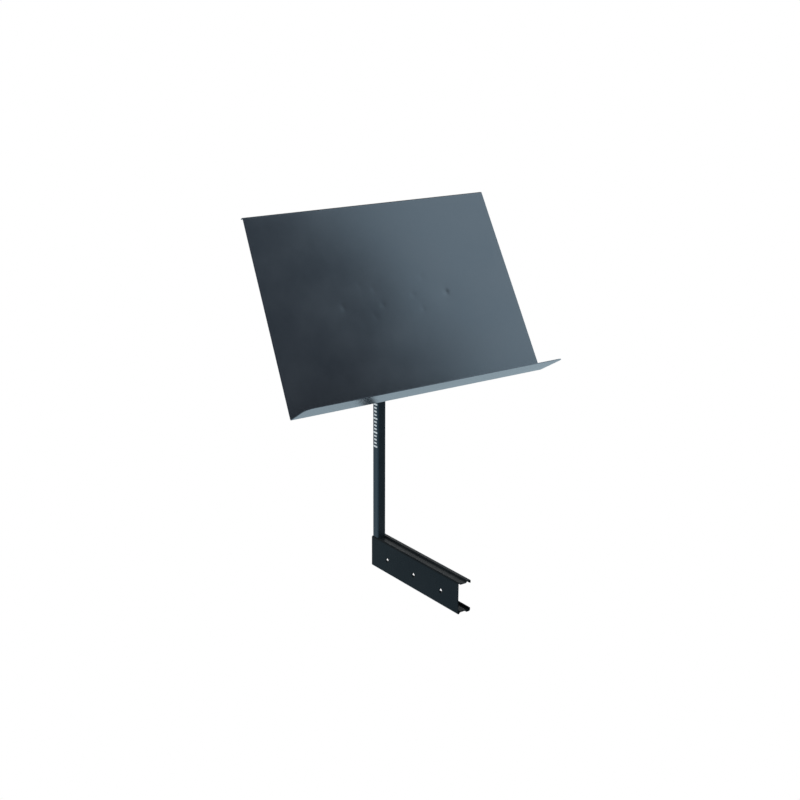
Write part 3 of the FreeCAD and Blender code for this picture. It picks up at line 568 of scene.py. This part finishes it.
# %% [markdown]
# Two kinds of unevenness make the reflection in the plate look real.  A slow waviness of a tenth
# of a millimetre or two bends it over a hand's width, and each weld leaves a shallow round dent.
# The dent near the right tip of the hidden plate is the deep one, where the sheet was pulled in.
# Both die out towards the folds, which hold the sheet straight.

# %% The sheet's unevenness
WAVE = 0.16
LEVEL_WAVE = (61, 52)
SLANTED_WAVE = (37, 45)
STARTS = (1.1, 0.3, 2.0)
CALM_EDGE = 40
DENT_RADIUS = 3.6
PULL_RADIUS = 17.0
PULL_SHARE = 0.5


def pushed_back(x, z):
    """How far the plate's surface lies behind its true plane at a place, in millimetres."""
    slow = WAVE * math.sin(x / LEVEL_WAVE[0] + STARTS[0]) * math.sin(z / LEVEL_WAVE[1] + STARTS[1])
    slow += WAVE / 2 * math.sin(x / SLANTED_WAVE[0] - z / SLANTED_WAVE[1] + STARTS[2])
    fade = min(1.0, z / CALM_EDGE, (PLATE_HEIGHT - z) / CALM_EDGE)
    dents = 0.0
    for weld_x, weld_z, depth in WELDS:
        apart = (x - weld_x) ** 2 + (z - weld_z) ** 2
        dents += depth * math.exp(-apart / (2 * DENT_RADIUS ** 2))
        dents += depth * PULL_SHARE * math.exp(-apart / (2 * PULL_RADIUS ** 2))
    return slow * max(0.0, fade) + dents


print("deepest dent", round(pushed_back(*WELDS[0][:2]), 2), "mm")

# %% [markdown]
# Two grids, half a sheet's thickness in front of and behind the middle layer, are joined round
# their rim, and the rim's sharp edges are bevelled.  Weighted normals keep the large faces flat in
# the light although their shading is smooth.  Every piece made here is finished by the same helpers.

# %% Helpers that finish a mesh
SHARP_SHADING = 35.0
BEVEL_STEPS = 2


def shaded(piece):
    """Smooth shading with sharp edges above an angle, and normals weighted by face area."""
    piece.data.shade_smooth()
    piece.data.set_sharp_from_angle(angle=math.radians(SHARP_SHADING))
    weigh = piece.modifiers.new("weighted_normals", "WEIGHTED_NORMAL")
    weigh.keep_sharp = True
    return piece


def bevel_sharp(bm, width, angle):
    """Round every edge whose faces meet at more than an angle in degrees."""
    least = math.radians(angle)
    sharp = [edge for edge in bm.edges if edge.is_manifold and edge.calc_face_angle(0.0) > least]
    bmesh.ops.bevel(
        bm, geom=sharp, offset=width, segments=BEVEL_STEPS, profile=0.5, affect="EDGES", clamp_overlap=True)
    return len(sharp)


def into_piece(bm, name, body, slot, stands_for):
    """A finished mesh as an object that rides on a body, wears a slot's finish and stands for parts."""
    bmesh.ops.recalc_face_normals(bm, faces=bm.faces)
    mesh = bpy.data.meshes.new(name)
    bm.to_mesh(mesh)
    bm.free()
    piece = bpy.data.objects.new(name, mesh)
    bpy.context.scene.collection.objects.link(piece)
    mesh.materials.append(FINISHES[slot])
    shaded(piece)
    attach(piece, body)
    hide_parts(stands_for)
    print(name, "faces", len(mesh.polygons))
    return piece


print("edges over", SHARP_SHADING, "degrees stay sharp in the shading")

# %% Build the sheet
RIM_ROUND = 0.25 * MM
CUT_EDGE_ANGLE = 60.0
columns = [x / HALF_BEND for x in stations(-HALF_BEND, HALF_BEND, [weld[0] for weld in WELDS])]
bm = bmesh.new()
layers = []
for side in (0.5, -0.5):
    grid = []
    for (y, z), facing, inset in section:
        reach = half_width(y, z) - inset
        on_plate = facing == (-1.0, 0.0)
        row = []
        for share in columns:
            x = share * reach
            back = pushed_back(x, z) if on_plate else 0.0
            place = in_desk(x, y + facing[0] * SHEET * side + back, z + facing[1] * SHEET * side)
            row.append(bm.verts.new(place))
        grid.append(row)
    layers.append(grid)
front, rear = layers
last_row = len(section) - 1
last_column = len(columns) - 1
for i in range(last_row):
    for j in range(last_column):
        bm.faces.new((front[i][j], front[i][j + 1], front[i + 1][j + 1], front[i + 1][j]))
        bm.faces.new((rear[i][j], rear[i + 1][j], rear[i + 1][j + 1], rear[i][j + 1]))
    for j in (0, last_column):
        bm.faces.new((front[i][j], front[i + 1][j], rear[i + 1][j], rear[i][j]))
for i in (0, last_row):
    for j in range(last_column):
        bm.faces.new((front[i][j], front[i][j + 1], rear[i][j + 1], rear[i][j]))
bmesh.ops.recalc_face_normals(bm, faces=bm.faces)
print("rim edges", bevel_sharp(bm, RIM_ROUND, CUT_EDGE_ANGLE))
into_piece(bm, "desk_sheet", "desk", "desk_enamel", "desk_plate")

# %% [markdown]
# The channel, the ears and the cap have the right shape already, but their edges are knife sharp,
# and coating always rounds an edge.  Each gets a copy of its own mesh with its seams welded, its flat
# faces merged and its sharp edges bevelled by a fraction of a millimetre.

# %% Round the edges of folded and cut parts
SEAM = 0.002 * MM
FLAT_ANGLE = 0.3
COATED_EDGE_ANGLE = 50.0
SOFT_EDGES = {"rail_channel": 0.3, "tilt_ear_left": 0.25, "tilt_ear_right": 0.25, "post_cap": 0.4}


def merged_copy(name):
    """A part's mesh with its seams welded and its flat faces merged."""
    bm = bmesh.new()
    bm.from_mesh(nodes[name].data)
    bmesh.ops.remove_doubles(bm, verts=bm.verts, dist=SEAM)
    bmesh.ops.dissolve_limit(bm, angle_limit=math.radians(FLAT_ANGLE), verts=bm.verts, edges=bm.edges)
    return bm


for name, width in SOFT_EDGES.items():
    bm = merged_copy(name)
    bevel_sharp(bm, width * MM, COATED_EDGE_ANGLE)
    into_piece(bm, f"{name}_finished", nodes[name]["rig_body"], slot_of[name], name)

# %% [markdown]
# The hidden plate is spot-welded to the desk.  An electrode leaves a round pit on its rear face for
# each weld.  A flattened ball gives just that pit: its middle lies behind the face by the pit's depth,
# and it is twice that deep, so it is cut a little inside its widest ring.

# %% The hidden plate with its weld pits
PIT_RADIUS = 3.2
PIT_DEPTH = 0.25
BALL_SPREAD = 1.2
BACK_SHEET = 2.0
BACK_EDGE = 0.3
PLATE_BACK = SHEET + BACK_SHEET
PIT_WELDS = [(side * x, z) for side in (-1, 1) for x, z in ((102.5, 164.0), (58.0, 190.0), (58.0, 138.0))]
bm = merged_copy("back_plate")
bevel_sharp(bm, BACK_EDGE * MM, COATED_EDGE_ANGLE)
back_plate = into_piece(bm, "back_plate_finished", "desk", "desk_enamel", "back_plate")
lens = Matrix.Diagonal((BALL_SPREAD * PIT_RADIUS, 2 * PIT_DEPTH, BALL_SPREAD * PIT_RADIUS, 1.0))
bm = bmesh.new()
for x, z in PIT_WELDS:
    centre = Matrix.Translation(in_desk(x, PLATE_BACK + PIT_DEPTH, z))
    ball = centre @ LEAN.to_4x4() @ lens
    bmesh.ops.create_uvsphere(bm, u_segments=40, v_segments=24, radius=MM, matrix=ball)
cutter_mesh = bpy.data.meshes.new("pit_cutter")
bm.to_mesh(cutter_mesh)
bm.free()
cutter = bpy.data.objects.new("pit_cutter", cutter_mesh)
bpy.context.scene.collection.objects.link(cutter)
dig = back_plate.modifiers.new("pits", "BOOLEAN")
dig.operation = "DIFFERENCE"
dig.solver = "EXACT"
dig.object = cutter
bpy.context.view_layer.update()
dug = bpy.data.meshes.new_from_object(back_plate.evaluated_get(bpy.context.evaluated_depsgraph_get()))
back_plate.modifiers.remove(dig)
back_plate.data = dug
bpy.data.objects.remove(cutter)
print("back plate faces", len(dug.polygons))

# %% [markdown]
# The clamp knob is a moulding, and a moulding has no creases: its five lobes run into the hub with a
# smooth valley.  Its outline is a circle for each lobe and one for the hub, melted together by a high
# power mean.  The body is a stack of such outlines along the bolt, with round rims, a fillet to the
# neck, a bore for the insert and a recess for the cover disc.

# %% The knob
KNOB_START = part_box("lock_knob")[0][0]
KNOB_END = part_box("lock_knob")[1][0]
LENGTH = (KNOB_END - KNOB_START) / MM
NECK = 9.0
NECK_RADIUS = 8.0
HUB_RADIUS = 15.0
LOBE_RADIUS = 7.0
LOBE_CENTRE = 14.0
LOBES = 5
RIM = 2.0
INSERT_RADIUS = 5.0
INSERT_LENGTH = 21.0
LID_RADIUS = 8.0
LID_DEPTH = 2.0
NECK_ROUND = 0.5
RECESS_GAP = 0.1
RECESS_ROUND = 0.5
RECESS_LIP = 0.3
NEAR_AXIS = 0.05
ROUND_STEPS = 4
AROUND = 160
MELT = 14


def lobed(turn):
    """The grip's radius at a turn about its axis."""
    part = 2 * math.pi / LOBES
    off = (turn + part / 2) % part - part / 2
    room = LOBE_RADIUS ** 2 - (LOBE_CENTRE * math.sin(off)) ** 2
    lobe = LOBE_CENTRE * math.cos(off) + math.sqrt(max(0.0, room)) if room > 0 else 0.0
    return (lobe ** MELT + HUB_RADIUS ** MELT) ** (1 / MELT)


def knob_stations():
    """Outlines along the knob: (distance, round radius or None for the lobed outline, inset)."""
    bends = [math.pi / 2 * step / ROUND_STEPS for step in range(ROUND_STEPS + 1)]
    rims = [(RIM * (1 - math.cos(a)), RIM * (1 - math.sin(a))) for a in bends]
    bore = [(INSERT_LENGTH, NEAR_AXIS, 0), (INSERT_LENGTH, INSERT_RADIUS, 0), (0.0, INSERT_RADIUS, 0)]
    chamfer = 0.3 * NECK_ROUND
    neck = [(0.0, NECK_RADIUS - NECK_ROUND, 0), (chamfer, NECK_RADIUS - chamfer, 0),
            (NECK_ROUND, NECK_RADIUS, 0)]
    flare = [(NECK - RIM * (1 - math.sin(a)), NECK_RADIUS + RIM * (1 - math.cos(a)), 0) for a in bends]
    grip = [(NECK + along, None, inset) for along, inset in rims]
    grip += [(LENGTH - along, None, inset) for along, inset in rims[::-1]]
    recess = LID_RADIUS + RECESS_GAP
    end = [(LENGTH, LID_RADIUS + RECESS_ROUND, 0), (LENGTH - RECESS_LIP, recess, 0)]
    floor_of_recess = [(LENGTH - LID_DEPTH, recess, 0), (LENGTH - LID_DEPTH, NEAR_AXIS, 0)]
    return bore + neck + flare + grip + end + floor_of_recess


knob_start = Vector((KNOB_START, PIVOT.y, PIVOT.z))
bm = bmesh.new()
loops = []
for along, radius, inset in knob_stations():
    loop = []
    for step in range(AROUND):
        turn = 2 * math.pi * step / AROUND
        out = (lobed(turn) - inset if radius is None else radius) * MM
        flat = LEAN @ Vector((along * MM, -math.sin(turn) * out, math.cos(turn) * out))
        loop.append(bm.verts.new(knob_start + flat))
    loops.append(loop)
for one, other in zip(loops, loops[1:]):
    for step in range(AROUND):
        after = (step + 1) % AROUND
        bm.faces.new((one[step], one[after], other[after], other[step]))
for loop in (loops[0], loops[-1]):
    bm.faces.new(loop)
into_piece(bm, "star_knob", "knob", "knob_plastic", "lock_knob")

# %% [markdown]
# The post carries a row of white marks on its left face, just under the desk.  They are plain
# height ticks here, every fourth one long.  Each is a thin raised strip of paint with round
# corners, so that it catches light like silk-screened ink.

# %% Height ticks
TICKS = 13
LONG_EVERY = 4
LOWEST_TICK = 277.6
TICK_PITCH = 6.25
TICK_THICK = 3.0
TICK_CORNER = 0.9
LONG_TICK = 11.0
SHORT_TICK = 7.4
PAINT = 0.06
post_low, post_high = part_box("post_tube")
middle_y = (post_low[1] + post_high[1]) / 2
bm = bmesh.new()
for number in range(TICKS):
    width = LONG_TICK if number % LONG_EVERY == 0 else SHORT_TICK
    below_top = LOWEST_TICK - number * TICK_PITCH
    size = Matrix.Diagonal((PAINT * MM, width * MM, TICK_THICK * MM, 1.0))
    place = Vector((post_low[0] - PAINT * MM / 2, middle_y, post_high[2] - below_top * MM))
    bmesh.ops.create_cube(bm, size=1.0, matrix=Matrix.Translation(place) @ size)
corners = [edge for edge in bm.edges if abs((edge.verts[0].co - edge.verts[1].co).x) > PAINT * MM / 2]
bmesh.ops.bevel(bm, geom=corners, offset=TICK_CORNER * MM, segments=3, profile=0.5, affect="EDGES")
bmesh.ops.recalc_face_normals(bm, faces=bm.faces)
tick_mesh = bpy.data.meshes.new("height_ticks")
bm.to_mesh(tick_mesh)
bm.free()
tick_mesh.materials.append(tick_paint)
ticks = bpy.data.objects.new("height_ticks", tick_mesh)
bpy.context.scene.collection.objects.link(ticks)
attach(ticks, "post")
print("ticks", TICKS, "lowest at", round(post_high[2] - LOWEST_TICK * MM, 4))

# %% [markdown]
# Colours are shown as they are, without a film curve.

# %% Colours without a film curve
bpy.context.scene.view_settings.view_transform = "Standard"
